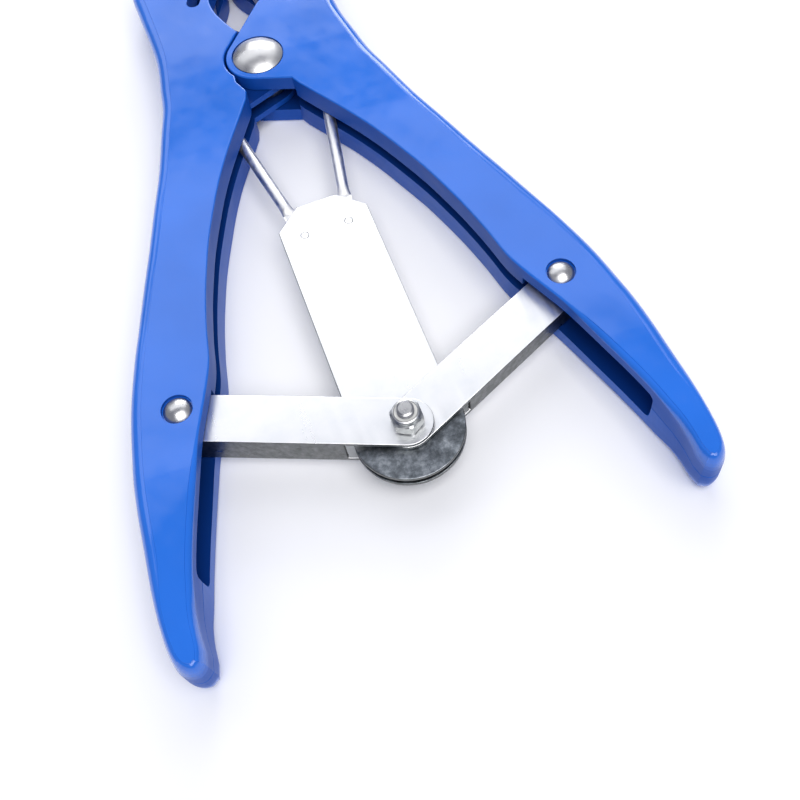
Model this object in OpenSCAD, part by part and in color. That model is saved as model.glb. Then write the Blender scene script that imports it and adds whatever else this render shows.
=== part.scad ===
// Four-prong elastic ring expander pliers.
// Units mm, +Z up, the tool lies flat on z = 0, +Y points from the handles to the jaws.
// Origin: on the axis of the main pivot rivet, at the underside of the levers.

/* [Levers] */
// thickness of both levers
lever_t = 17.4; // [16:0.2:20]
// rounding of the outer long edges
edge_r = 3.2; // [1:0.2:4]
// height of the groove that the rods run in
groove_h = 3.9; // [3.8:0.1:4.4]
// height of the pocket that the links swing in
pocket_h = 9.4; // [9.4:0.2:10.4]
// thickness of the right lever's two ears at the pivot
ear_t = 4.6; // [4.2:0.1:4.8]

/* [Pivot] */
// radius of the main rivet shank
pivot_r = 3.0; // [2.5:0.1:3.5]
// radial running clearance of the main rivet and the centre bolt
run_fit = 0.05; // [0.02:0.01:0.09]
// radius of the domed rivet head
pivot_head_r = 7.0; // [6.4:0.1:7]
// height of the domed rivet head
pivot_head_h = 2.8; // [2:0.1:3.4]

/* [Slide] */
// thickness of each slide plate
plate_t = 1.0; // [0.8:0.1:1]
// gap between the two slide plates
plate_gap = 1.6; // [1.6:0.1:1.8]
// half width of the slide plates
plate_hw = 12.1; // [10:0.1:12.1]
// radius of the round lower end of the slide plates
disc_r = 13.3; // [12.4:0.1:13.5]

/* [Links] */
// width of both links
link_w = 12.1; // [11:0.1:12.4]
// sheet thickness of both links
link_t = 1.0; // [0.8:0.1:1.1]
// radius of the link rivet shanks
link_rivet_r = 2.0; // [1.8:0.1:2.2]
// radius of the link rivet heads
link_head_r = 3.35; // [3:0.05:3.4]

/* [Prongs] */
// radius of the rods and of all four prongs
rod_r = 1.6; // [1.3:0.1:1.6]
// height of the prongs above the jaw face
prong_h = 13; // [10:0.5:18]
// centre-line radius of the bend at the foot of a rod prong
foot_r = 2.6; // [2.4:0.1:2.8]

/* [Hidden] */
$fn = 48;

// half angle between the levers at rest
rest_half_angle = 25.35;
mid = lever_t / 2;
ca = cos(rest_half_angle);
sa = sin(rest_half_angle);
// distance from the main pivot to the link rivets, and the centre bolt
rivet_u = 112;
bolt_y = -122.7;
rivet_x = rivet_u * sa;
rivet_y = -rivet_u * ca;
link_len = sqrt(rivet_x * rivet_x + (rivet_y - bolt_y) * (rivet_y - bolt_y));
link_ang = atan2(rivet_x, rivet_y - bolt_y);
// travel from rest to full squeeze
lever_turn = 9.35;
slide_travel = 27.48;
rod_turn = 5.8;
// rod hinge on the slide, first bend, prong place
hinge_x = 6;
hinge_y = -60.5;
bend_t = 50;
prong_x = 3.5;
prong_y = 56.5;
fixed_y = 61.5;
slot_hw = rod_r + 0.35;
rod_len = sqrt(pow(prong_x - hinge_x, 2) + pow(prong_y - hinge_y, 2));
rod_ang = atan2(prong_x - hinge_x, prong_y - hinge_y);
// distance from the centre bolt to the start of a link's web
web_start = 14.3;
// heights above the middle plane
plate_top = plate_gap / 2 + plate_t;
rlink_h = plate_top + 0.3 + link_t;
llink_h = rlink_h + 0.3 + link_t;

// right lever, handle coordinates: u from the pivot to the link rivet, v toward the axis
function hw(p) = [p[0] * sa - p[1] * ca, -p[0] * ca - p[1] * sa];
function cr(a, b, c, d, t) = 0.5 * ((2 * b) + (c - a) * t + (2 * a - 5 * b + 4 * c - d) * t * t
    + (3 * b - a - 3 * c + d) * t * t * t);
function smooth(p, n) = let (m = len(p) - 1) concat([for (i = [0:m - 1]) for (k = [0:n - 1])
    cr(p[max(i - 1, 0)], p[i], p[i + 1], p[min(i + 2, m)], k / n)], [p[m]]);
function arc(c, r, a0, a1, n) = [for (i = [0:n]) c + r * [cos(a0 + (a1 - a0) * i / n), sin(a0 + (a1 - a0) * i / n)]];

outer_world = [[3.2, 66], [6.5, 65.6], [11, 63.6], [16.3, 59.8], [21.6, 55.1], [25.5, 50.7],
    [27.6, 46.3], [28, 40], [27.7, 30], [27.4, 20], [27.5, 10], [29.1, -1],
    [30.3, -8.3], [32.8, -17.1], [36.3, -29.5]];
outer_handle = [[54.6, -18.8], [66.9, -17.3], [78.3, -16.1], [90.3, -14.7], [100.6, -13.5],
    [112.6, -11.5], [124.4, -8.5], [130.8, -6.6], [137.2, -4.3], [143.2, -1.9],
    [150, 0.8], [156.4, 3.3], [162.2, 5.9], [166.6, 8.4]];
handle_end = [[169.6, 11], [170.6, 13.6], [170, 15.9], [168, 17], [165.2, 16.3]];
inner_handle = [[161.3, 14.4], [157.3, 12.9], [153.4, 11.9], [147.2, 10.4], [139.9, 9.1], [132.8, 8.1],
    [125.7, 7.1], [118.3, 6.2], [110.9, 5.9], [104, 5.6], [98.3, 4.9], [90.3, 2.8],
    [81.1, 0.8], [73.2, -0.5], [64, -1.7], [54.7, -2.3], [44.6, -2.6], [34.5, -2.2],
    [24.2, -1.2], [16.5, -0.5]];
gap_side = [[4.1, 14.2], [5.5, 17.8], [6.8, 22], [7.2, 26.2], [6.6, 30], [5, 34], [3, 37.6],
    [1.4, 41.2], [0.6, 45], [0.4, 48]];
jaw_in = [[0.4, 63.6], [0.8, 65], [1.8, 65.8]];

// each outline point carries a weight: 1 on the round outer edges, small on the inner edges
function w(p, k) = [for (q = p) [q[0], q[1], k]];
inw = 0;
outer_part = concat(w(smooth(outer_world, 2), 1), w([for (q = outer_handle) hw(q)], 1),
    w([for (q = handle_end) hw(q)], 0.8), w([for (q = inner_handle) hw(q)], inw));
jaw_part = concat(w(gap_side, inw), w(jaw_in, inw));
// round socket beside the pivot, and the ear that reaches into the other lever's socket
socket_part = w(concat([[6.7, -11.9], [6.9, -11]], [[8.3, -7.6]], arc([0, 0], 9.6, -32, 39.4, 8),
    [[2.9, 11.6]]), inw);
ear_plan = concat([[13, -13.5], [6.9, -12.1]], arc([0, 0], 9, -109.8, -219.4, 16), [[4.9, 20.1], [6, 20.4], [13, 16]]);
outline = concat(outer_part, socket_part, jaw_part);

function unit(v) = v / max(norm(v), 0.0001);
function inset(p, e) = let (n = len(p)) [for (i = [0:n - 1])
    let (a = p[(i + n - 1) % n], b = p[i], c = p[(i + 1) % n],
        t = unit(unit([b[0] - a[0], b[1] - a[1]]) + unit([c[0] - b[0], c[1] - b[1]])))
    [b[0] + t[1] * e * b[2], b[1] - t[0] * e * b[2]]];

// whole lever with its outside edges stepped round: [inset, distance from each face]
rounding = [[1, 0], [0.62, 0.08], [0.3, 0.3], [0.1, 0.56], [0, 1]];
module rounded_body(p) {
    for (r = rounding) translate([0, 0, edge_r * r[1]])
        linear_extrude(lever_t - 2 * edge_r * r[1]) polygon(inset(p, edge_r * r[0]));
}

// plan of the groove that the rod runs in
groove_plan = concat([[-12, 59.4], [9, 59.4], [15, 53], [20, 46], [21.2, 40], [21, 12], [22.6, 0],
    [24.4, -8.5], [27, -18.5], [29.8, -29]], [for (q = [[54.6, -12.4], [66.9, -10.9], [78.3, -9.7],
    [90.3, -8.3], [100.6, -7.6], [105, -7.6], [105, 22]]) hw(q)], [[-12, -40]]);
pocket_plan = [for (q = concat([[104.6, 24], [104.6, 2.4], [103.7, 1.2], [103.7, -6.4], [105.5, -8],
    [110, -8.7], [115.5, -8.5], [119, -6.9], [124.4, -4.2],
    [130.8, -1.9], [137.2, 0.4], [143.2, 2.8]], [[146.6, 4.6], [148.6, 7], [149.2, 10], [149.4, 24]])) hw(q)];

// way of the rod prong seen from the jaw, from rest to full squeeze
function prong_way(q) = let (a = rod_ang + rod_turn * q, x = hinge_x + rod_len * sin(a),
    y = hinge_y - slide_travel * q + rod_len * cos(a), b = lever_turn * q)
    [x * cos(b) - y * sin(b), x * sin(b) + y * cos(b)];
way = [for (q = [0:0.1:1.1]) prong_way(q)];
function side(p, s) = [for (i = [0:len(p) - 1]) let (a = p[max(i - 1, 0)], b = p[min(i + 1, len(p) - 1)],
    t = unit(b - a)) p[i] + s * slot_hw * [t[1], -t[0]]];
function cap(c, d, a0) = [for (k = [1:7]) c + slot_hw * [cos(d + a0 - k * 22.5), sin(d + a0 - k * 22.5)]];
way_a = atan2(way[0][1] - way[1][1], way[0][0] - way[1][0]);
way_b = atan2(way[11][1] - way[10][1], way[11][0] - way[10][0]);
slot_plan = concat([for (i = [11:-1:0]) side(way, 1)[i]], cap(way[0], way_a, 90),
    side(way, -1), cap(way[11], way_b, 90));

module prong_slot() {
    translate([0, 0, mid - 0.5]) linear_extrude(mid + 1) polygon(slot_plan);
}

// the right lever ends in a fork of two ears, and the left lever in a tongue between them
module lever_body(fork) {
    difference() {
        union() {
            rounded_body(outline);
            if (fork) for (z = [0, lever_t - ear_t]) translate([0, 0, z]) linear_extrude(ear_t) polygon(ear_plan);
            else translate([0, 0, ear_t + 0.3]) linear_extrude(lever_t - 2 * ear_t - 0.6) polygon(ear_plan);
        }
        translate([0, 0, mid - groove_h / 2]) linear_extrude(groove_h) polygon(groove_plan);
        translate([0, 0, mid - pocket_h / 2]) linear_extrude(pocket_h) polygon(pocket_plan);
        prong_slot();
        translate([0, 0, -1]) cylinder(r = pivot_r + run_fit, h = lever_t + 2);
        translate([0, 0, lever_t - 0.9]) cylinder(r = pivot_head_r + 0.35, h = 2);
        translate([0, 0, -1]) cylinder(r = pivot_head_r + 0.35, h = 2.6);
        translate([rivet_x, rivet_y, -1]) cylinder(r = link_rivet_r, h = lever_t + 2);
        translate([rivet_x, rivet_y, lever_t - 1]) cylinder(r = link_head_r + 0.35, h = 2);
        translate([rivet_x, rivet_y, -1]) cylinder(r = link_head_r + 0.35, h = 2.6);
        translate([prong_x, fixed_y, mid - 3]) cylinder(r = rod_r, h = mid + 5);
    }
}

module right_lever() {
    color("#1f57c8") lever_body(true);
}

module left_lever() {
    color("#1f57c8") mirror([1, 0, 0]) lever_body(false);
}

module dome(r, h) {
    rs = (r * r + h * h) / (2 * h);
    intersection() {
        translate([0, 0, h - rs]) sphere(rs, $fn = 96);
        cylinder(r = r, h = h + 1);
    }
}

module pivot_rivet() {
    color("#c9ccd1") {
        translate([0, 0, lever_t - 0.6]) dome(pivot_head_r, pivot_head_h);
        translate([0, 0, 0.6]) cylinder(r = pivot_r, h = lever_t - 1.1);
        translate([0, 0, 0.1]) cylinder(r1 = 5.2, r2 = 5.6, h = 0.8);
    }
}

module pivot_spacer() {
    color("#b9bcc2") translate([0, 0, mid - groove_h / 2 + 0.3]) difference() {
        cylinder(r = 7, h = groove_h - 0.6);
        translate([0, 0, -1]) cylinder(r = pivot_r, h = groove_h + 2);
    }
}

module pivot_back_washer() {
    color("#b9bcc2") translate([0, 0, 0.9]) difference() {
        cylinder(r = 6.6, h = 0.4);
        translate([0, 0, -1]) cylinder(r = pivot_r, h = 3);
    }
}

// flanged link lying along +Y from the centre bolt, web on the +X side
module link_shape(h) {
    slot_c = 0.2;
    translate([0, bolt_y, mid]) rotate([0, 0, -link_ang]) difference() {
        union() {
            translate([0, 0, -h]) cylinder(r = link_w / 2, h = 2 * h);
            translate([-link_w / 2, 0, -h]) cube([link_w, link_len + 2.4, 2 * h]);
            translate([-link_w / 2 + 2.8, link_len + 2.4, -h]) cube([link_w - 5.6, 2.8, 2 * h]);
            translate([-link_w / 2 + 2.8, link_len + 2.4, -h]) cylinder(r = 2.8, h = 2 * h);
            translate([link_w / 2 - 2.8, link_len + 2.4, -h]) cylinder(r = 2.8, h = 2 * h);
        }
        translate([-link_w, -link_w, -h + link_t]) cube([2 * link_w - link_w / 2 - link_t, link_len + 40, 2 * h - 2 * link_t]);
        translate([0, -link_w, -h + link_t]) cube([link_w, link_w + web_start, 2 * h - 2 * link_t]);
        translate([0, link_len - 1, -h + link_t]) cube([link_w, 20, 2 * h - 2 * link_t]);
        translate([0, 0, -h - 1]) cylinder(r = 2 + run_fit, h = 2 * h + 2);
        translate([slot_c, link_len, -h - 1]) cylinder(r = link_rivet_r + 0.55, h = 2 * h + 2);
        translate([slot_c, link_len - 2, -h - 1]) cylinder(r = link_rivet_r + 0.55, h = 2 * h + 2);
        translate([slot_c - link_rivet_r - 0.55, link_len - 2, -h - 1]) cube([2 * link_rivet_r + 1.1, 2, 2 * h + 2]);
    }
}

module right_link() {
    color("#b4b8bd") link_shape(rlink_h);
}

module left_link() {
    color("#b4b8bd") mirror([1, 0, 0]) link_shape(llink_h);
}

module link_rivet() {
    translate([rivet_x, rivet_y, 0]) {
        translate([0, 0, lever_t - 1]) dome(link_head_r, 1.7);
        translate([0, 0, 0.5]) cylinder(r = link_rivet_r, h = lever_t - 1.2);
        translate([0, 0, 0.1]) cylinder(r1 = 2.7, r2 = 3, h = 0.9);
    }
}

module rivet_washer() {
    translate([rivet_x, rivet_y, 1]) difference() {
        cylinder(r = 3.5, h = 0.6);
        translate([0, 0, -1]) cylinder(r = link_rivet_r, h = 3);
    }
}

module right_link_rivet() {
    color("#c9ccd1") link_rivet();
}

module left_link_rivet() {
    color("#c9ccd1") mirror([1, 0, 0]) link_rivet();
}

module right_rivet_washer() {
    color("#b9bcc2") rivet_washer();
}

module left_rivet_washer() {
    color("#b9bcc2") mirror([1, 0, 0]) rivet_washer();
}

plate_plan = [[-plate_hw, bolt_y], [-plate_hw, -57], [-5.4, -50.8], [5.4, -50.8], [plate_hw, -57],
    [plate_hw, bolt_y]];

module slide_plate() {
    difference() {
        union() {
            linear_extrude(plate_t) polygon(plate_plan);
            translate([0, bolt_y, 0]) cylinder(r = disc_r, h = plate_t);
        }
        translate([0, bolt_y, -1]) cylinder(r = 2, h = plate_t + 2);
        for (s = [-1, 1]) translate([s * hinge_x, hinge_y, -1]) cylinder(r = 1, h = plate_t + 2);
    }
}

module slide_front_plate() {
    color("#c6c9cd") translate([0, 0, mid + plate_gap / 2]) slide_plate();
}

module slide_back_plate() {
    color("#c6c9cd") translate([0, 0, mid - plate_top]) slide_plate();
}

module slide_spacer() {
    color("#b9bcc2") translate([0, bolt_y, mid - plate_gap / 2]) difference() {
        cylinder(r = 4.2, h = plate_gap);
        translate([0, 0, -1]) cylinder(r = 2, h = plate_gap + 2);
    }
}

module slide_bolt() {
    color("#9da1a7") translate([0, bolt_y, mid]) {
        translate([0, 0, -llink_h - 0.3]) cylinder(r = 2, h = 2 * llink_h + 6.6);
        translate([0, 0, llink_h + 6.3]) cylinder(r1 = 2, r2 = 1.6, h = 0.5);
        translate([0, 0, -llink_h - 2.9]) cylinder(r = 3.6, h = 2.6, $fn = 6);
    }
}

module slide_nut() {
    color("#aeb2b7") translate([0, bolt_y, mid + llink_h + 0.3]) difference() {
        union() {
            cylinder(r = 4.04, h = 3.4, $fn = 6);
            cylinder(r = 3.35, h = 5);
        }
        translate([0, 0, -1]) cylinder(r = 2, h = 8);
        translate([0, 0, 3.7]) cylinder(r = 2.8, h = 3);
    }
}

module nut_insert() {
    color("#d8dbe0") translate([0, bolt_y, mid + llink_h + 4]) difference() {
        cylinder(r = 2.8, h = 1.1);
        translate([0, 0, -1]) cylinder(r = 2, h = 4);
    }
}

// rod: flat eye between the plates, straight run, bend beside the pivot, straight run, prong
bend_x = hinge_x + bend_t * sin(10);
bend_y = hinge_y + bend_t * cos(10);
in_ang = atan2(prong_x - bend_x, prong_y - bend_y);
turn = 10 - in_ang;
bend_r = 14;
cut = bend_r * tan(turn / 2);
flat_end = 10.2;

// stations along the rod: x, y, z, heading from +Y, pitch, radius
function along(c, h, d) = [c[0] + d * sin(h), c[1] + d * cos(h)];
run1_end = along([hinge_x, hinge_y], 10, bend_t - cut);
arc_c = [run1_end[0] - bend_r * cos(10), run1_end[1] + bend_r * sin(10)];
run2_end = along([prong_x, prong_y], in_ang, -foot_r);
top_z = mid + prong_h;
stations = concat(
    [let (q = along([hinge_x, hinge_y], 10, flat_end)) [q[0], q[1], 0, 10, 0, rod_r]],
    [for (k = [0:4]) let (h = 10 - turn * k / 4)
        [arc_c[0] + bend_r * cos(h), arc_c[1] - bend_r * sin(h), 0, h, 0, rod_r]],
    [for (k = [0:5]) let (a = k * 18, q = along(run2_end, in_ang, foot_r * sin(a)))
        [q[0], q[1], foot_r * (1 - cos(a)), in_ang, a, rod_r]],
    [for (t = [[1.3, 1], [0.5, 0.8], [0, 0.4]]) [prong_x, prong_y, top_z - t[0], in_ang, 90, rod_r * t[1]]]);
sides_n = 20;
function ring(q) = let (h = q[3], a = q[4], n = [cos(h), -sin(h), 0], u = [-sin(h) * sin(a), -cos(h) * sin(a), cos(a)])
    [for (k = [0:sides_n - 1]) let (b = k * 360 / sides_n) [q[0], q[1], q[2]] + q[5] * (cos(b) * n + sin(b) * u)];

module sweep(st) {
    m = len(st);
    n = sides_n;
    quads = [for (j = [0:m - 2]) for (k = [0:n - 1]) let (a = j * n + k, b = j * n + (k + 1) % n)
        each [[a, b, b + n], [a, b + n, a + n]]];
    polyhedron([for (q = st) each ring(q)], concat([[for (k = [n - 1:-1:0]) k]],
        [[for (k = [0:n - 1]) (m - 1) * n + k]], quads), convexity = 6);
}

module prong_tip() {
    cylinder(r1 = rod_r, r2 = rod_r * 0.8, h = 0.8);
    translate([0, 0, 0.8]) cylinder(r1 = rod_r * 0.8, r2 = rod_r * 0.4, h = 0.5);
}

module rod() {
    translate([0, 0, mid]) {
        translate([hinge_x, hinge_y, 0]) difference() {
            union() {
                translate([0, 0, -0.5]) cylinder(r = 2.7, h = 1);
                rotate([0, 0, -10]) translate([-1.9, 0, -0.5]) cube([3.8, flat_end + 1.4, 1]);
            }
            translate([0, 0, -2]) cylinder(r = 1 + run_fit, h = 4);
        }
        sweep(stations);
    }
}

module right_rod() {
    color("#d2d4d8") rod();
}

module left_rod() {
    color("#d2d4d8") mirror([1, 0, 0]) rod();
}

module rod_pin() {
    translate([hinge_x, hinge_y, mid - plate_top]) cylinder(r = 1, h = 2 * plate_top);
}

module right_rod_pin() {
    color("#c6c9cd") rod_pin();
}

module left_rod_pin() {
    color("#c6c9cd") mirror([1, 0, 0]) rod_pin();
}

module fixed_prong() {
    translate([prong_x, fixed_y, 0]) {
        translate([0, 0, mid - 3]) cylinder(r = rod_r, h = mid + 3 + prong_h - 1.3);
        translate([0, 0, lever_t + prong_h - 1.3]) prong_tip();
        translate([0, 0, lever_t]) cylinder(r = 2.3, h = 0.7);
    }
}

module right_fixed_prong() {
    color("#d2d4d8") fixed_prong();
}

module left_fixed_prong() {
    color("#d2d4d8") mirror([1, 0, 0]) fixed_prong();
}

left_lever();
right_lever();
pivot_rivet();
pivot_spacer();
pivot_back_washer();
left_link();
right_link();
left_link_rivet();
right_link_rivet();
left_rivet_washer();
right_rivet_washer();
slide_front_plate();
slide_back_plate();
slide_spacer();
slide_bolt();
slide_nut();
nut_insert();
left_rod();
right_rod();
left_rod_pin();
right_rod_pin();
left_fixed_prong();
right_fixed_prong();
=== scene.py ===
import math

import bmesh
import bpy
from mathutils import Matrix, Vector


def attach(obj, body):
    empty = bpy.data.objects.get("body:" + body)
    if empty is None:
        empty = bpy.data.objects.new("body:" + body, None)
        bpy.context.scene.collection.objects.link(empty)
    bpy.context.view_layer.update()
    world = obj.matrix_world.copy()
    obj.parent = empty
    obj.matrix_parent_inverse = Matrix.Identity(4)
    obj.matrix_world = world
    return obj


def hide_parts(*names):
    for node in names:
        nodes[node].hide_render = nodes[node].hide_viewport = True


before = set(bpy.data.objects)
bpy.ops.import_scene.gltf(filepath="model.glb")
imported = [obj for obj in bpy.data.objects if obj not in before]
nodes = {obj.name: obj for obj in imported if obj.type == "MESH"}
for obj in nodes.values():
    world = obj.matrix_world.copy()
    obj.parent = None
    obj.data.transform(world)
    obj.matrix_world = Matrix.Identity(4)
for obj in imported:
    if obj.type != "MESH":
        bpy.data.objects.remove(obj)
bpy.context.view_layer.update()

# ---------------------------------------------------------------- driving dimensions
# Plans, profiles and heights are millimetres in the frame of the CAD parts; MM turns them into metres.
MM = 0.001
LEVER_T = 17.4                      # lever thickness
MID = LEVER_T / 2
HALF_ANGLE = math.radians(25.35)    # half angle between the levers at rest
SIN_A, COS_A = math.sin(HALF_ANGLE), math.cos(HALF_ANGLE)
EDGE_R, INNER_R = 3.2, 0.5          # rounding of the outer and of the inner edges
END_INNER_R = 1.4                   # rounding of the inner edges toward the handle end
END_NARROW, END_TALL = 1.1, 3.2     # the outer rounding gets narrower and taller at the handle end
EDGE_STEPS = 7
LIP, LIP_INSET = 0.14, 0.97         # fine step between the rounding and the flat face
SEAM, SEAM_H = 0.12, 0.16           # mould seam at mid height
EAR_T, GAP = 4.6, 0.3               # ear of the fork, and the gap to the tongue
GROOVE_H, POCKET_H = 3.9, 9.4
POCKET_END_R = 1.7
BEYOND = 1.0                        # how far a cutter reaches past a face

RIVET_U = 112.0                     # main pivot to link rivet
RIVET = (RIVET_U * SIN_A, -RIVET_U * COS_A)
BOLT_Y = -122.7
PIVOT_R, PIVOT_BORE_R, PIVOT_SEAT_R, PIVOT_SEAT = 3.0, 3.05, 7.35, 0.9
RIVET_R, RIVET_BORE_R, RIVET_SEAT_R, RIVET_SEAT = 2.0, 2.0, 3.7, 1.0
TAIL_SEAT = 1.6
PLATE_TOP = 1.8                     # face of the front slide plate above the middle
LINK_T, LINK_GAP = 1.0, 0.3
LINK_TOP = PLATE_TOP + 2 * (LINK_GAP + LINK_T)

ROD_R = 1.6
PRONG = (3.5, 56.5)                 # foot of the right rod's prong
FIXED_Y = 61.5                      # the fixed prongs
PRONG_H = 13.0
HINGE = (6.0, -60.5)                # pin of the right rod
ROD_HEADING, BEND_AT, BEND_R, FOOT_R = math.radians(10), 50.0, 14.0, 2.6
EYE_R, EYE_BORE_R, EYE_HALF_T, NECK, NECK_HW = 2.7, 1.05, 0.5, 9.4, 1.9
LEVER_TURN, SLIDE_TRAVEL, ROD_TURN = 9.35, 27.48, 5.8
SLOT_STEPS, SLOT_OVERRUN, SLOT_CLEAR = 20, 1.1, 0.35


# ---------------------------------------------------------------- plane geometry
def handle(p):
    """Part coordinates of a point given along (u) and across (v) the handle."""
    return (p[0] * SIN_A - p[1] * COS_A, -p[0] * COS_A - p[1] * SIN_A)


def along(x, y):
    return x * SIN_A - y * COS_A


def step(value, low, high):
    t = min(max((value - low) / (high - low), 0.0), 1.0)
    return t * t * (3 - 2 * t)


def spline(pts, n):
    out = []
    last = len(pts) - 1
    for i in range(last):
        a, b, c, d = pts[max(i - 1, 0)], pts[i], pts[i + 1], pts[min(i + 2, last)]
        for k in range(n):
            t = k / n
            out.append(tuple(0.5 * (2 * b[j] + (c[j] - a[j]) * t
                                    + (2 * a[j] - 5 * b[j] + 4 * c[j] - d[j]) * t * t
                                    + (3 * b[j] - a[j] - 3 * c[j] + d[j]) * t ** 3) for j in range(2)))
    return out + [pts[-1]]


def arc(c, r, a0, a1, n):
    angles = [math.radians(a0 + (a1 - a0) * i / n) for i in range(n + 1)]
    return [(c[0] + r * math.cos(a), c[1] + r * math.sin(a)) for a in angles]


# Outline of the right lever: the head in part coordinates, the handle in handle coordinates.
OUTER_HEAD = [(3.2, 66), (6.5, 65.6), (11, 63.6), (16.3, 59.8), (21.6, 55.1), (25.5, 50.7), (27.6, 46.3),
              (28, 40), (27.7, 30), (27.4, 20), (27.5, 10), (29.1, -1), (30.3, -8.3), (32.8, -17.1),
              (36.3, -29.5)]
OUTER_HANDLE = [(54.6, -18.8), (66.9, -17.3), (78.3, -16.1), (90.3, -14.7), (100.6, -13.5),
                (112.6, -11.5), (124.4, -8.5), (130.8, -6.6), (137.2, -4.3), (143.2, -1.9), (150, 0.8),
                (156.4, 3.3), (162.2, 5.9), (166.6, 8.4), (169.6, 11), (170.6, 13.6), (170, 15.9),
                (168, 17)]
INNER_HANDLE = [(165.2, 16.3), (161.3, 14.4), (157.3, 12.9), (153.4, 11.9), (147.2, 10.4), (139.9, 9.1),
                (132.8, 8.1), (125.7, 7.1), (118.3, 6.2), (110.9, 5.9), (104, 5.6), (98.3, 4.9),
                (90.3, 2.8), (81.1, 0.8), (73.2, -0.5), (64, -1.7), (54.7, -2.3), (44.6, -2.6),
                (34.5, -2.2), (24.2, -1.2), (16.5, -0.5)]
GAP_SIDE = [(4.1, 14.2), (5.5, 17.8), (6.8, 22), (7.2, 26.2), (6.6, 30), (5, 34), (3, 37.6),
            (1.4, 41.2), (0.6, 45), (0.4, 48)]
JAW_IN = [(0.4, 63.6), (0.8, 65), (1.8, 65.8)]
SOCKET = [(6.7, -11.9), (6.9, -11), (8.3, -7.6)] + arc((0, 0), 9.6, -32, 39.4, 14) + [(2.9, 11.6)]
EAR = [(6.4, -12.2)] + arc((0, 0), 9, -109.8, -219.4, 26) + [(4.9, 20.1)]
EAR_TOP_Y = 21
TONGUE = [(13, -13.5)] + EAR + [(6, 20.4), (13, 16)]
GROOVE_HANDLE = [(54.6, -12.4), (66.9, -10.9), (78.3, -9.7), (90.3, -8.3), (100.6, -7.6), (105, -7.6),
                 (105, 22)]
GROOVE = [(-12, 59.4), (9, 59.4), (15, 53), (20, 46), (21.2, 40), (21, 12), (22.6, 0), (24.4, -8.5),
          (27, -18.5), (29.8, -29)] + [handle(p) for p in GROOVE_HANDLE] + [(-12, -40)]
POCKET_HANDLE = [(104.6, 24), (104.6, 2.4), (103.7, 1.2), (103.7, -6.4), (105.5, -8), (110, -8.7),
                 (115.5, -8.5), (119, -6.9), (124.4, -4.2), (130.8, -1.9), (137.2, 0.4), (143.2, 2.8),
                 (145.4, 3.8), (147.2, 5), (148.4, 6.6), (149, 8.4), (149.2, 10), (149.4, 24)]
POCKET = [handle(p) for p in POCKET_HANDLE]

outer_pts = spline(OUTER_HEAD + [handle(p) for p in OUTER_HANDLE], 4)
inner_pts = spline([handle(p) for p in INNER_HANDLE], 3)
gap_pts = spline(GAP_SIDE, 3)


def outline(ear):
    """Closed plan of a lever, clockwise: x, y, rounding radius, rounding height, draft below the seam."""
    out = []
    for x, y in outer_pts:
        u = along(x, y)
        r = EDGE_R - END_NARROW * step(u, 146, 160)
        out.append((x, y, r, EDGE_R + END_TALL * step(u, 150, 166), 0.0))
    for x, y in inner_pts:
        u = along(x, y)
        r = INNER_R + (END_INNER_R - INNER_R) * step(u, 116, 132)
        draft = (0.45 * step(u, 30, 55) + 0.6 * step(u, 105, 130)) * (1 - step(u, 140, 168))
        out.append((x, y, r, r + END_TALL * step(u, 150, 166), draft))
    if ear:
        rest = EAR + [p for p in gap_pts if p[1] > EAR_TOP_Y]
    else:
        rest = SOCKET + gap_pts
    out += [(x, y, INNER_R, INNER_R, 0.0) for x, y in rest + JAW_IN]
    n, m = len(out), len(outer_pts)
    near = [i for i in range(n) if m - 14 < i < m + 3 or i > n - 4 or i < 5]
    for _ in range(3):  # the radius changes smoothly where outer and inner edges meet
        was = list(out)
        for i in near:
            a, b, c = was[i - 1], was[i], was[(i + 1) % n]
            out[i] = (*b[:2], (a[2] + 2 * b[2] + c[2]) / 4, (a[3] + 2 * b[3] + c[3]) / 4, b[4])
    return out


def inward_normals(pts):
    out = []
    n = len(pts)
    for i in range(n):
        a, b, c = (Vector(pts[(i + k) % n][:2]) for k in (-1, 0, 1))
        t = ((b - a).normalized() + (c - b).normalized())
        t = t.normalized() if t.length > 1e-6 else (c - b).normalized()
        out.append(Vector((t.y, -t.x)))
    return out


# ---------------------------------------------------------------- mesh tools
def skin(bm, rings):
    """Walls between successive closed rings, and a cap on the first and the last."""
    for a, b in zip(rings, rings[1:]):
        for i in range(len(a)):
            k = (i + 1) % len(a)
            bm.faces.new((a[i], a[k], b[k], b[i]))
    bm.faces.new(rings[0])
    bm.faces.new(rings[-1])
    bmesh.ops.recalc_face_normals(bm, faces=bm.faces)
    return bm


def prism(pts, z0, z1):
    bm = bmesh.new()
    return skin(bm, [[bm.verts.new((p[0], p[1], z)) for p in pts] for z in (z0, z1)])


def disc(x, y, r, z0, z1, n=64):
    return prism(arc((x, y), r, 0, 360, n)[:-1], z0, z1)


def to_object(bm, name, scale=MM):
    mesh = bpy.data.meshes.new(name)
    if scale != 1:
        bmesh.ops.scale(bm, vec=(scale,) * 3, verts=bm.verts)
    bm.to_mesh(mesh)
    bm.free()
    obj = bpy.data.objects.new(name, mesh)
    bpy.context.scene.collection.objects.link(obj)
    return obj


def as_bmesh(obj):
    bm = bmesh.new()
    bm.from_mesh(obj.data)
    return bm


def evaluated_mesh(obj):
    deps = bpy.context.evaluated_depsgraph_get()
    return bpy.data.meshes.new_from_object(obj.evaluated_get(deps))


def boolean(obj, cutters, operation="DIFFERENCE"):
    for cutter in cutters:
        cut = to_object(cutter, "cutter", 1)
        mod = obj.modifiers.new("cut", "BOOLEAN")
        mod.operation = operation
        mod.solver = "EXACT"
        mod.object = cut
        mesh = evaluated_mesh(obj)
        obj.modifiers.clear()
        old = obj.data
        obj.data = mesh
        bpy.data.meshes.remove(old)
        bpy.data.objects.remove(cut)


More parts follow.
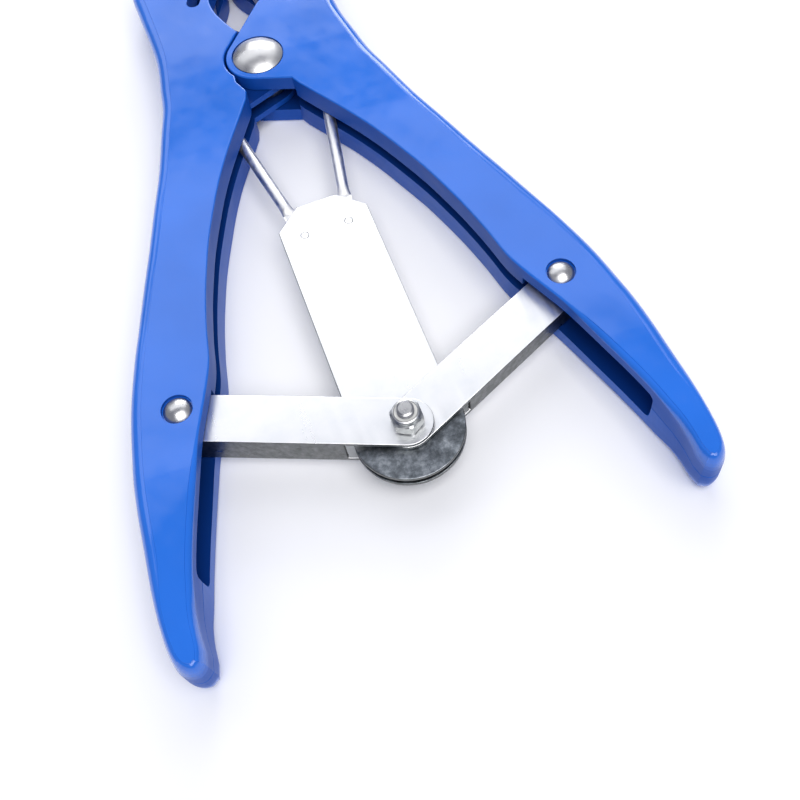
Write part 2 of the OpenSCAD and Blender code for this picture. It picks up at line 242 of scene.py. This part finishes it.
def smooth(obj, degrees):
    """Smooth shading with sharp edges where faces meet at more than the given angle."""
    bm = as_bmesh(obj)
    limit = math.radians(degrees)
    for f in bm.faces:
        f.smooth = True
    for e in bm.edges:
        e.smooth = len(e.link_faces) == 2 and e.calc_face_angle(0) < limit
    bm.to_mesh(obj.data)
    bm.free()


def settle(obj, mirrored, weld=0.0):
    """Turn a finished right-hand piece into metres, mirrored for the left side."""
    bm = as_bmesh(obj)
    if weld:
        bmesh.ops.remove_doubles(bm, verts=bm.verts, dist=weld)
    bmesh.ops.scale(bm, vec=(-MM if mirrored else MM, MM, MM), verts=bm.verts)
    bmesh.ops.recalc_face_normals(bm, faces=bm.faces)
    bm.to_mesh(obj.data)
    bm.free()


def lathe(name, profile, x, y, n=96):
    """Solid of revolution about +Z through (x, y); the profile runs from axis to axis."""
    bm = bmesh.new()
    rings = []
    for r, z in profile:
        if r < 1e-6:
            rings.append([bm.verts.new((x, y, z))])
        else:
            rings.append([bm.verts.new((px, py, z)) for px, py in arc((x, y), r, 0, 360, n)[:-1]])
    for a, b in zip(rings, rings[1:]):
        for k in range(n):
            j = (k + 1) % n
            if len(a) == 1:
                bm.faces.new((a[0], b[k], b[j]))
            elif len(b) == 1:
                bm.faces.new((a[k], a[j], b[0]))
            else:
                bm.faces.new((a[k], a[j], b[j], b[k]))
    bmesh.ops.recalc_face_normals(bm, faces=bm.faces)
    obj = to_object(bm, name)
    smooth(obj, 30)
    return obj


def dome_profile(r, h, z, lip, n):
    """Domed head: a short upright lip, then a shallow cap."""
    rs = (r * r + (h - lip) ** 2) / (2 * (h - lip))
    out = [(r - 0.12, z), (r, z + 0.12), (r, z + lip)]
    a0 = math.asin(min(1, r / rs))
    for k in range(1, n + 1):
        a = a0 * (1 - k / n)
        out.append((rs * math.sin(a), z + h - rs + rs * math.cos(a)))
    return out


def refined(node, name, body, bevel, segments=2):
    """A copy of a CAD node's mesh with merged faces and soft edges, which stands for it."""
    bm = as_bmesh(nodes[node])
    bmesh.ops.remove_doubles(bm, verts=bm.verts, dist=1e-6)
    bmesh.ops.dissolve_limit(bm, angle_limit=math.radians(1), verts=bm.verts, edges=bm.edges)
    obj = to_object(bm, name, 1)
    mod = obj.modifiers.new("edge", "BEVEL")
    mod.width = bevel * MM
    mod.segments = segments
    mod.limit_method = "ANGLE"
    mod.angle_limit = math.radians(30)
    mesh = evaluated_mesh(obj)
    obj.modifiers.clear()
    obj.data = mesh
    smooth(obj, 40)
    large = 6e-6  # square metres
    for face in mesh.polygons:
        if abs(face.normal.z) > 0.999 or face.area > large:
            face.use_smooth = False
    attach(obj, body)
    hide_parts(node)
    return obj


# ---------------------------------------------------------------- lever shapes
def edge_section(r, tall):
    """Half section of a lever's edge from the seam up to the face, as (height, inset) pairs."""
    out = [(MID, SEAM), (MID + SEAM_H, 0.0)]
    lip = LIP if tall > 1 else 0
    for k in range(EDGE_STEPS + 1):
        a = math.pi / 2 * k / EDGE_STEPS
        down = 1 - math.sin(a)
        out.append((LEVER_T - tall * down - lip * (1 - down), r * (1 - math.cos(a)) * LIP_INSET))
    return out + [(LEVER_T, r)]


def shell(ear):
    """A whole lever blank: rounded edges, a fine lip on each face, a mould seam."""
    pts = outline(ear)
    inward = inward_normals(pts)
    sections = []
    for point in pts:
        up = edge_section(point[2], point[3])
        sections.append([(LEVER_T - z, inset) for z, inset in up[:0:-1]] + up)
    bm = bmesh.new()
    rings = []
    for level in range(len(sections[0])):
        row = []
        for point, n, section in zip(pts, inward, sections):
            z, inset = section[level]
            d = inset - point[4] * max(MID - z, 0.0) / MID
            row.append(bm.verts.new((point[0] + n.x * d, point[1] + n.y * d, z)))
        rings.append(row)
    return skin(bm, rings)


def pocket_cutter():
    """The link pocket, its far end rounded in elevation as well."""
    steps = 6
    quarter = []
    for k in range(steps + 1):
        a = math.pi / 2 * k / steps
        quarter.append((POCKET_H / 2 - POCKET_END_R * (1 - math.sin(a)), POCKET_END_R * (1 - math.cos(a))))
    levels = [(MID - z, back) for z, back in quarter[::-1]] + [(MID + z, back) for z, back in quarter]
    bm = bmesh.new()
    rings = []
    for z, back in levels:
        row = []
        for x, y in POCKET:
            far = step(along(x, y), 144, 149) * back
            row.append(bm.verts.new((x - SIN_A * far, y + COS_A * far, z)))
        rings.append(row)
    return skin(bm, rings)


def prong_way(q):
    """Where the rod prong is in the right lever's own frame, at share q of the stroke."""
    length = math.hypot(PRONG[0] - HINGE[0], PRONG[1] - HINGE[1])
    a = math.atan2(PRONG[0] - HINGE[0], PRONG[1] - HINGE[1]) + math.radians(ROD_TURN) * q
    x = HINGE[0] + length * math.sin(a)
    y = HINGE[1] - SLIDE_TRAVEL * q + length * math.cos(a)
    b = math.radians(LEVER_TURN) * q
    return Vector((x * math.cos(b) - y * math.sin(b), x * math.sin(b) + y * math.cos(b)))


def slot_plan():
    """The slot that a rod prong follows, with round ends."""
    hw = ROD_R + SLOT_CLEAR
    way = [prong_way(SLOT_OVERRUN * k / SLOT_STEPS) for k in range(SLOT_STEPS + 1)]
    left, right = [], []
    for i, p in enumerate(way):
        t = (way[min(i + 1, SLOT_STEPS)] - way[max(i - 1, 0)]).normalized()
        n = Vector((t.y, -t.x))
        left.append(p + n * hw)
        right.append(p - n * hw)

    def cap(c, d):
        a0 = math.atan2(d.y, d.x) + math.pi / 2
        angles = [a0 - math.pi * k / 10 for k in range(1, 10)]
        return [c + hw * Vector((math.cos(a), math.sin(a))) for a in angles]
    return left[::-1] + cap(way[0], way[0] - way[1]) + right + cap(way[-1], way[-1] - way[-2])


def build_lever(name, fork, mirrored):
    """The right lever ends in a fork of two ears round the pivot, the left one in a tongue between them."""
    obj = to_object(shell(fork), name, 1)
    if fork:
        seat = SOCKET + [p for p in gap_pts if p[1] < 24] + [(-14, 24), (-14, -14), (6.5, -14)]
        boolean(obj, [prism(seat, EAR_T, LEVER_T - EAR_T)])
    else:
        boolean(obj, [prism(TONGUE, EAR_T + GAP, LEVER_T - EAR_T - GAP)], "UNION")
    low, high = -BEYOND, LEVER_T + BEYOND
    boolean(obj, [prism(GROOVE, MID - GROOVE_H / 2, MID + GROOVE_H / 2),
                  pocket_cutter(),
                  disc(0, 0, PIVOT_BORE_R, low, high),
                  disc(*RIVET, RIVET_BORE_R, low, high),
                  prism(slot_plan(), MID - 0.5, high),
                  disc(0, 0, PIVOT_SEAT_R, LEVER_T - PIVOT_SEAT, high),
                  disc(0, 0, PIVOT_SEAT_R, low, TAIL_SEAT),
                  disc(*RIVET, RIVET_SEAT_R, LEVER_T - RIVET_SEAT, high),
                  disc(*RIVET, RIVET_SEAT_R, low, TAIL_SEAT)])
    settle(obj, mirrored, weld=0.002)
    smooth(obj, 28)
    return obj


# ---------------------------------------------------------------- material tools
def principled(name, **values):
    mat = bpy.data.materials.new(name)
    mat.use_nodes = True
    bsdf = mat.node_tree.nodes["Principled BSDF"]
    for key, value in values.items():
        bsdf.inputs[key.replace("_", " ")].default_value = value
    return mat, mat.node_tree, bsdf


def noise(tree, scale, detail=3.0, roughness=0.5, stretch=(1, 1, 1), turn=0.0):
    coord = tree.nodes.new("ShaderNodeTexCoord")
    mapping = tree.nodes.new("ShaderNodeMapping")
    mapping.inputs["Scale"].default_value = stretch
    mapping.inputs["Rotation"].default_value = (0, 0, turn)
    tex = tree.nodes.new("ShaderNodeTexNoise")
    tex.inputs["Scale"].default_value = scale
    tex.inputs["Detail"].default_value = detail
    tex.inputs["Roughness"].default_value = roughness
    tree.links.new(coord.outputs["Object"], mapping.inputs["Vector"])
    tree.links.new(mapping.outputs["Vector"], tex.inputs["Vector"])
    return tex.outputs["Fac"]


def grey(value):
    return (value, value, value)


def ramp(tree, source, stops):
    """Colour ramp; a stop is (position, colour) or (position, grey level)."""
    node = tree.nodes.new("ShaderNodeValToRGB")
    while len(node.color_ramp.elements) < len(stops):
        node.color_ramp.elements.new(0.5)
    for element, (position, colour) in zip(node.color_ramp.elements, stops):
        element.position = position
        element.color = (*(colour if isinstance(colour, tuple) else grey(colour)), 1)
    tree.links.new(source, node.inputs["Fac"])
    return node.outputs["Color"]


def bump(tree, bsdf, layers):
    """layers: (height socket, strength, distance in metres), the finest last."""
    previous = None
    for height, strength, distance in layers:
        node = tree.nodes.new("ShaderNodeBump")
        node.inputs["Strength"].default_value = strength
        node.inputs["Distance"].default_value = distance
        tree.links.new(height, node.inputs["Height"])
        if previous:
            tree.links.new(previous, node.inputs["Normal"])
        previous = node.outputs["Normal"]
    tree.links.new(previous, bsdf.inputs["Normal"])


def mix_rgb(tree, fac, a, b):
    """Colour mix; each of fac, a and b is a socket or a constant."""
    node = tree.nodes.new("ShaderNodeMix")
    node.data_type = "RGBA"
    for index, value in ((0, fac), (6, a), (7, b)):
        if isinstance(value, (int, float)):
            node.inputs[index].default_value = value
        elif isinstance(value, tuple):
            node.inputs[index].default_value = (*value, 1)
        else:
            tree.links.new(value, node.inputs[index])
    return node.outputs[2]


def between(tree, source, low, high):
    """0 below low, 1 above high."""
    node = tree.nodes.new("ShaderNodeMapRange")
    node.inputs["From Min"].default_value = low
    node.inputs["From Max"].default_value = high
    tree.links.new(source, node.inputs["Value"])
    return node.outputs["Result"]


def math_node(tree, operation, a, b=None):
    node = tree.nodes.new("ShaderNodeMath")
    node.operation = operation
    for socket, value in zip(node.inputs, (a, b)):
        if isinstance(value, (int, float)):
            socket.default_value = value
        elif value is not None:
            tree.links.new(value, socket)
    return node.outputs[0]


def object_place(tree):
    """Object coordinates and the size of the upward part of the true normal."""
    coord = tree.nodes.new("ShaderNodeTexCoord")
    where = tree.nodes.new("ShaderNodeSeparateXYZ")
    tree.links.new(coord.outputs["Object"], where.inputs["Vector"])
    geo = tree.nodes.new("ShaderNodeNewGeometry")
    split = tree.nodes.new("ShaderNodeSeparateXYZ")
    tree.links.new(geo.outputs["True Normal"], split.inputs["Vector"])
    return where.outputs, math_node(tree, "ABSOLUTE", split.outputs["Z"])


# ---------------------------------------------------------------- materials
def blue_plastic():
    """Glossy moulded plastic, duller on side walls and in the groove and pocket, with painted shade
    darkening the side walls and the recessed faces near mid height.
    """
    mat, tree, bsdf = principled("blue_plastic", Roughness=0.2, IOR=1.5,
                                 Coat_Weight=0.2, Coat_Roughness=0.03)
    cloud = noise(tree, 38, 2.0)
    streak = noise(tree, 90, 4.0, 0.6, (1.0, 0.35, 1.0), 0.2)
    base = ramp(tree, cloud, [(0.3, (0.009, 0.135, 0.62)), (0.7, (0.014, 0.160, 0.72))])
    base = mix_rgb(tree, ramp(tree, streak, [(0.55, 0.0), (0.8, 0.10)]), base, (0.03, 0.20, 0.80))
    where, up = object_place(tree)
    depth = math_node(tree, "ABSOLUTE", math_node(tree, "SUBTRACT", where["Z"], MID * MM))
    inner_band = math_node(tree, "LESS_THAN", depth, (POCKET_H / 2 + 0.05) * MM)
    # painted shade: upward faces in the recesses near mid height (groove, pocket, slot and fork) are
    # painted dark blue, and get less shine and no coat
    recess_shade_and_dull = math_node(tree, "MULTIPLY", inner_band, between(tree, up, 0.5, 0.8))
    base = mix_rgb(tree, recess_shade_and_dull, base, (0.004, 0.035, 0.20))
    # painted shade: side walls are painted a darker blue; the same mask also makes them rougher and less
    # glossy
    wall_shade_and_dull = math_node(tree, "SUBTRACT", 1.0, between(tree, up, 0.02, 0.25))
    base = mix_rgb(tree, math_node(tree, "MULTIPLY", wall_shade_and_dull, 0.85), base, (0.006, 0.070, 0.38))
    tree.links.new(base, bsdf.inputs["Base Color"])
    rough = ramp(tree, noise(tree, 260, 3.0), [(0.35, 0.12), (0.7, 0.20)])
    tree.links.new(mix_rgb(tree, wall_shade_and_dull, rough, grey(0.42)), bsdf.inputs["Roughness"])
    shine = mix_rgb(tree, wall_shade_and_dull, grey(0.5), grey(0.2))
    tree.links.new(mix_rgb(tree, recess_shade_and_dull, shine, grey(0.1)), bsdf.inputs["Specular IOR Level"])
    dull = math_node(tree, "MAXIMUM", wall_shade_and_dull, recess_shade_and_dull)
    tree.links.new(mix_rgb(tree, dull, grey(0.45), grey(0.0)), bsdf.inputs["Coat Weight"])
    waves = noise(tree, 42, 2.5, 0.45, (1.0, 0.6, 1.0), 0.5)
    bump(tree, bsdf, [(waves, 0.8, 0.0022), (noise(tree, 900, 2.0), 0.05, 0.00006)])
    return mat


def zinc(name, tone=0.97, side=0.16, turn=0.0, mottled=False):
    """Bright zinc plate: pale on the flat faces, with painted shade making the sheared and bent sides dark.
    """
    mat, tree, bsdf = principled(name, Metallic=1.0, Roughness=0.3)
    brushed = noise(tree, 420, 4.0, 0.6, (1.0, 0.06, 1.0), turn)
    spot = noise(tree, 160, 4.0, 0.6)
    low = (tone * 0.94, tone * 0.95, tone * 0.96)
    face = ramp(tree, spot, [(0.35, low), (0.65, grey(tone))])
    where, up = object_place(tree)
    if mottled:
        # painted reflection: the round end is painted a dark mottled grey that stands in for the dark
        # surroundings it mirrors
        dark_reflection_blot = ramp(tree, noise(tree, 330, 6.0, 0.7),
                    [(0.36, (0.10, 0.11, 0.12)), (0.5, (0.19, 0.21, 0.23)), (0.68, (0.44, 0.47, 0.50))])
        wear_and_painted_reflection = math_node(tree, "SUBTRACT", 1.0, between(tree, where["Y"], -0.1245, -0.1215))
        face = mix_rgb(tree, wear_and_painted_reflection, face, dark_reflection_blot)
        scratch = ramp(tree, noise(tree, 900, 5.0, 0.75), [(0.66, 0.0), (0.74, 0.55)])
        face = mix_rgb(tree, scratch, face, (tone * 0.55, tone * 0.56, tone * 0.57))
    # painted shade: faces that do not face up (sheared sides, bends and bevels) are painted dark grey
    edge = ramp(tree, noise(tree, 700, 5.0, 0.7), [(0.3, (side * 0.6, side * 0.63, side * 0.63)),
                                                   (0.75, (side * 1.6, side * 1.65, side * 1.65))])
    tree.links.new(mix_rgb(tree, between(tree, up, 0.7, 0.97), edge, face), bsdf.inputs["Base Color"])
    tree.links.new(ramp(tree, brushed, [(0.3, 0.26), (0.7, 0.40)]), bsdf.inputs["Roughness"])
    bump(tree, bsdf, [(brushed, 0.05, 0.00003), (spot, 0.04, 0.00005)])
    return mat


def polished(name, tone, rough, grain=500):
    """Turned or drawn steel with fine wear."""
    mat, tree, bsdf = principled(name, Metallic=1.0, Roughness=rough)
    wear_and_painted_reflection = noise(tree, grain, 4.0, 0.6)
    dark = (tone * 0.88, tone * 0.88, tone * 0.89)
    bright = (tone, tone * 0.995, tone * 0.99)
    tree.links.new(ramp(tree, wear_and_painted_reflection, [(0.3, dark), (0.7, bright)]), bsdf.inputs["Base Color"])
    tree.links.new(ramp(tree, wear_and_painted_reflection, [(0.35, rough * 0.8), (0.7, rough * 1.4)]), bsdf.inputs["Roughness"])
    bump(tree, bsdf, [(noise(tree, 240, 3.0), 0.10, 0.0002), (wear_and_painted_reflection, 0.06, 0.00004)])
    return mat


def nylon():
    mat, tree, bsdf = principled("nylon", Roughness=0.5)
    tint = ramp(tree, noise(tree, 500), [(0.3, (0.60, 0.60, 0.58)), (0.7, (0.72, 0.72, 0.69))])
    tree.links.new(tint, bsdf.inputs["Base Color"])
    bump(tree, bsdf, [(noise(tree, 900), 0.1, 0.00005)])
    return mat


LINK_TURN = math.radians(65.9)
BLUE = blue_plastic()
ZINC_R = zinc("zinc_right_link", turn=-LINK_TURN)
ZINC_L = zinc("zinc_left_link", turn=LINK_TURN)
ZINC_PLATE = zinc("zinc_plate", mottled=True)
RIVET_METAL = polished("rivet_metal", 0.66, 0.30, 300)
ROD_METAL = polished("rod_metal", 0.98, 0.42)
BOLT_METAL = polished("bolt_metal", 0.55, 0.28)
NUT_METAL = zinc("nut_zinc", tone=0.80, side=0.3)
STEEL = zinc("plain_zinc", tone=0.70, side=0.3)
NYLON = nylon()


def paint(obj, mat):
    obj.data.materials.clear()
    obj.data.materials.append(mat)


def stand_for(obj, node, body, mat):
    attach(obj, body)
    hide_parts(node)
    paint(obj, mat)


SIDES = (("right", 1), ("left", -1))

# ---------------------------------------------------------------- levers
for side, sign in SIDES:
    lever = build_lever(side + "_lever_body", sign > 0, sign < 0)
    stand_for(lever, side + "_lever", side + "_lever", BLUE)

# ---------------------------------------------------------------- rivets and washers
dome = dome_profile(7.0, 2.8, LEVER_T - 0.6, 0.5, 20)
shank = [(0, 0.1), (5.0, 0.1), (5.5, 0.3), (5.6, 0.9), (PIVOT_R, 0.9), (PIVOT_R, LEVER_T - 0.6)]
rivet = lathe("pivot_rivet_turned", shank + dome, 0, 0)
stand_for(rivet, "pivot_rivet", "pivot", RIVET_METAL)
dome = dome_profile(3.35, 1.7, LEVER_T - 1, 0.25, 14)
shank = [(0, 0.1), (2.6, 0.1), (2.95, 0.35), (3.0, 1.0), (RIVET_R, 1.0), (RIVET_R, LEVER_T - 1)]
for side, sign in SIDES:
    rivet = lathe(side + "_link_rivet_turned", shank + dome, sign * RIVET[0], RIVET[1], 64)
    stand_for(rivet, side + "_link_rivet", side + "_lever", RIVET_METAL)
    washer = refined(side + "_rivet_washer", side + "_rivet_washer_turned", side + "_lever", 0.12)
    paint(washer, STEEL)
for node in ("pivot_spacer", "pivot_back_washer"):
    paint(refined(node, node + "_turned", "pivot", 0.12), STEEL)

# ---------------------------------------------------------------- links and slide
for side, mat in (("right", ZINC_R), ("left", ZINC_L)):
    paint(refined(side + "_link", side + "_link_sheet", side + "_link", 0.22, 3), mat)
for node in ("slide_front_plate", "slide_back_plate"):
    paint(refined(node, node + "_sheet", "slide", 0.24, 3), ZINC_PLATE)
paint(refined("slide_spacer", "slide_spacer_turned", "slide", 0.1), STEEL)
for side in ("left", "right"):
    paint(refined(side + "_rod_pin", side + "_rod_pin_turned", "slide", 0.08), ZINC_PLATE)

# ---------------------------------------------------------------- bolt and lock nut
NUT_Z = MID + LINK_TOP + LINK_GAP
BOLT_R, THREAD_ROOT_R, PITCH = 2.0, 1.72, 0.5


def slide_bolt():
    """Shank with a threaded end above the nut, and a hexagon head underneath."""
    foot, top = MID - LINK_TOP - 0.3, MID + LINK_TOP + 6.8
    profile = [(0, foot - 0.3), (BOLT_R, foot)]
    z = NUT_Z + 4.2
    profile.append((BOLT_R, z))
    while z < top - 0.6:
        profile += [(THREAD_ROOT_R, z + PITCH / 2), (BOLT_R, z + PITCH)]
        z += PITCH
    profile += [(1.9, top - 0.25), (1.55, top - 0.02), (0, top)]
    obj = lathe("slide_bolt_turned", profile, 0, BOLT_Y, 64)
    hexagon = arc((0, BOLT_Y), 3.6, 0, 360, 6)[:-1]
    head = to_object(prism(hexagon, foot - 2.6, foot), "bolt_head")
    bm = as_bmesh(obj)
    bm.from_mesh(head.data)
    bm.to_mesh(obj.data)
    bm.free()
    bpy.data.objects.remove(head)
    smooth(obj, 30)
    return obj


def lock_nut():
    """Hexagon with chamfered corners and a round collar rolled over the nylon ring."""
    half_flats, n = 3.5, 96
    whole = 9  # larger than the corners, so the full hexagon shows
    profile = [(3.45, 0.0), (4.0, 0.28), (whole, 0.45), (whole, 2.9), (3.95, 3.25), (3.5, 3.45), (3.3, 3.6),
               (3.28, 4.55), (3.12, 4.85), (2.85, 4.98), (2.7, 4.9), (2.65, 4.6), (2.02, 4.5), (2.02, 0.0)]
    collar = 3.4
    bm = bmesh.new()
    rings = []
    for limit, z in profile:
        ring = []
        for k in range(n):
            a = 2 * math.pi * k / n
            across = half_flats / math.cos((a + math.pi / 6) % (math.pi / 3) - math.pi / 6)
            r = min(limit, across) if limit > collar else limit
            ring.append(bm.verts.new((r * math.cos(a), BOLT_Y + r * math.sin(a), NUT_Z + z)))
        rings.append(ring)
    rings.append(rings[0])
    for a, b in zip(rings, rings[1:]):
        for k in range(n):
            j = (k + 1) % n
            bm.faces.new((a[k], a[j], b[j], b[k]))
    bmesh.ops.recalc_face_normals(bm, faces=bm.faces)
    obj = to_object(bm, "slide_nut_turned")
    smooth(obj, 24)
    return obj


stand_for(slide_bolt(), "slide_bolt", "slide", BOLT_METAL)
stand_for(lock_nut(), "slide_nut", "slide", NUT_METAL)
paint(nodes["nut_insert"], NYLON)

# ---------------------------------------------------------------- rods and prongs
# rounded end of every prong: (distance below the tip, share of the radius)
TIP = [(1.3, 1.0), (0.85, 0.95), (0.45, 0.8), (0.18, 0.6), (0.03, 0.36)]
# neck between the flat eye and the round rod: (distance from the pin, half width, half thickness)
ROD_NECK = [(8.2, 1.9, 0.5), (9.0, 1.9, 0.55), (9.8, 1.85, 0.8), (10.6, 1.75, 1.15), (11.6, 1.63, 1.5),
            (12.8, 1.6, 1.6)]


def ahead(c, heading, d):
    return (c[0] + d * math.sin(heading), c[1] + d * math.cos(heading))


def rod_stations():
    """Stations along the right rod: x, y, height, heading, pitch, half width, half thickness."""
    bend = ahead(HINGE, ROD_HEADING, BEND_AT)
    heading = math.atan2(PRONG[0] - bend[0], PRONG[1] - bend[1])
    turn = ROD_HEADING - heading
    out = []
    for d, wide, thick in ROD_NECK:
        out.append((*ahead(HINGE, ROD_HEADING, d), 0, ROD_HEADING, 0, wide, thick))
    start = ahead(HINGE, ROD_HEADING, BEND_AT - BEND_R * math.tan(turn / 2))
    c = (start[0] - BEND_R * math.cos(ROD_HEADING), start[1] + BEND_R * math.sin(ROD_HEADING))
    for k in range(9):
        h = ROD_HEADING - turn * k / 8
        out.append((c[0] + BEND_R * math.cos(h), c[1] - BEND_R * math.sin(h), 0, h, 0, ROD_R, ROD_R))
    end = ahead(PRONG, heading, -FOOT_R)
    for k in range(9):
        a = math.pi / 2 * k / 8
        x, y = ahead(end, heading, FOOT_R * math.sin(a))
        out.append((x, y, FOOT_R * (1 - math.cos(a)), heading, a, ROD_R, ROD_R))
    for down, w in TIP + [(0.0, 0.2)]:
        out.append((*PRONG, MID + PRONG_H - down, heading, math.pi / 2, ROD_R * w, ROD_R * w))
    return out


def rod_eye():
    """The flattened end of the right rod, pierced for its pin."""
    forward = Vector((math.sin(ROD_HEADING), math.cos(ROD_HEADING)))
    right = Vector((math.cos(ROD_HEADING), -math.sin(ROD_HEADING)))
    plan = [forward * NECK + right * NECK_HW, forward * NECK_HW + right * NECK_HW]
    for k in range(25):
        a = -ROD_HEADING + math.radians(45 - 270 * k / 24)
        plan.append(Vector((EYE_R * math.cos(a), EYE_R * math.sin(a))))
    plan += [forward * NECK_HW - right * NECK_HW, forward * NECK - right * NECK_HW]
    placed = [(HINGE[0] + p.x, HINGE[1] + p.y) for p in plan]
    eye = to_object(prism(placed, MID - EYE_HALF_T, MID + EYE_HALF_T), "eye", 1)
    boolean(eye, [disc(*HINGE, EYE_BORE_R, 0, 20, 40)])
    bm = as_bmesh(eye)
    bpy.data.objects.remove(eye)
    return bm


def rod(name, mirrored):
    """A drawn rod: flattened eye, straight runs with one bend, and the end bent up into a prong."""
    bm = bmesh.new()
    n = 28
    rings = []
    for x, y, z, h, a, wide, thick in rod_stations():
        across = Vector((math.cos(h), -math.sin(h), 0))
        up = Vector((-math.sin(h) * math.sin(a), -math.cos(h) * math.sin(a), math.cos(a)))
        ring = []
        for k in range(n):
            t = 2 * math.pi * k / n
            ring.append(bm.verts.new(Vector((x, y, MID + z)) + wide * math.cos(t) * across
                                     + thick * math.sin(t) * up))
        rings.append(ring)
    obj = to_object(skin(bm, rings), name, 1)
    boolean(obj, [rod_eye()], "UNION")
    settle(obj, mirrored)
    smooth(obj, 35)
    return obj


def fixed_prong(name, x):
    """Pin pressed into the jaw, with a small collar on the face."""
    tip = LEVER_T + PRONG_H
    profile = [(0, MID - 3), (ROD_R, MID - 3), (ROD_R, LEVER_T), (2.2, LEVER_T), (2.3, LEVER_T + 0.12),
               (2.3, LEVER_T + 0.5), (2.1, LEVER_T + 0.7), (ROD_R, LEVER_T + 0.75)]
    profile += [(ROD_R * w, tip - down) for down, w in TIP]
    return lathe(name, profile + [(0, tip)], x, FIXED_Y, 48)


for side, sign in SIDES:
    stand_for(rod(side + "_rod_drawn", sign < 0), side + "_rod", side + "_rod", ROD_METAL)
    prong = fixed_prong(side + "_fixed_prong_turned", sign * PRONG[0])
    stand_for(prong, side + "_fixed_prong", side + "_lever", ROD_METAL)

# ---------------------------------------------------------------- stage
bpy.ops.mesh.primitive_plane_add(size=6, location=(0, 0, -0.0002))
floor = bpy.context.object
floor.name = "floor"
mat, tree, bsdf = principled("floor_paper", Roughness=0.8, Specular_IOR_Level=0.2)
paper = ramp(tree, noise(tree, 3, 2.0), [(0.3, (0.94, 0.94, 0.955)), (0.7, (0.96, 0.96, 0.97))])
tree.links.new(paper, bsdf.inputs["Base Color"])
paint(floor, mat)


def area(name, position, target, size, power, colour):
    light = bpy.data.lights.new(name, "AREA")
    light.shape = "RECTANGLE"
    light.size, light.size_y = size
    light.energy = power
    light.color = colour
    obj = bpy.data.objects.new(name, light)
    obj.location = position
    obj.rotation_euler = (Vector(target) - Vector(position)).to_track_quat("-Z", "Y").to_euler()
    bpy.context.scene.collection.objects.link(obj)


area("window_high", (0.05, 0.74, 1.15), (0, -0.06, 0), (2.2, 0.46), 4.3, (0.97, 0.98, 1.0))
area("window_low", (0.05, 1.04, 0.775), (0, -0.06, 0), (2.2, 0.28), 2.7, (0.97, 0.98, 1.0))
area("far_key", (0.35, 1.25, 0.55), (0, -0.05, 0), (0.9, 0.5), 7, (1.0, 1.0, 1.0))
area("overhead", (0.1, -0.75, 1.5), (0, -0.05, 0), (1.4, 1.2), 20.5, (1.0, 0.99, 0.98))
world = bpy.data.worlds.new("studio")
world.use_nodes = True
world.node_tree.nodes["Background"].inputs["Color"].default_value = (0.80, 0.84, 1.0, 1)
world.node_tree.nodes["Background"].inputs["Strength"].default_value = 0.34
bpy.context.scene.world = world
bpy.context.scene.view_settings.view_transform = "Standard"

# ---------------------------------------------------------------- camera
LENS, SENSOR = 46.44, 36.0
cam = bpy.data.cameras.new("camera")
cam.sensor_width = SENSOR
cam.lens = LENS
cam.shift_x, cam.shift_y = -0.0975, -0.0575
cam.clip_start = 0.01
camera = bpy.data.objects.new("camera", cam)
turn = Matrix(((0.926611, 0.341445, -0.157506),
               (-0.374222, 0.796438, -0.475021),
               (-0.03675, 0.499102, 0.865764)))
camera.matrix_world = Matrix.Translation((-0.01705, -0.22877, 0.22495)) @ turn.to_4x4()
bpy.context.scene.collection.objects.link(camera)
bpy.context.scene.camera = camera

bpy.context.view_layer.update()
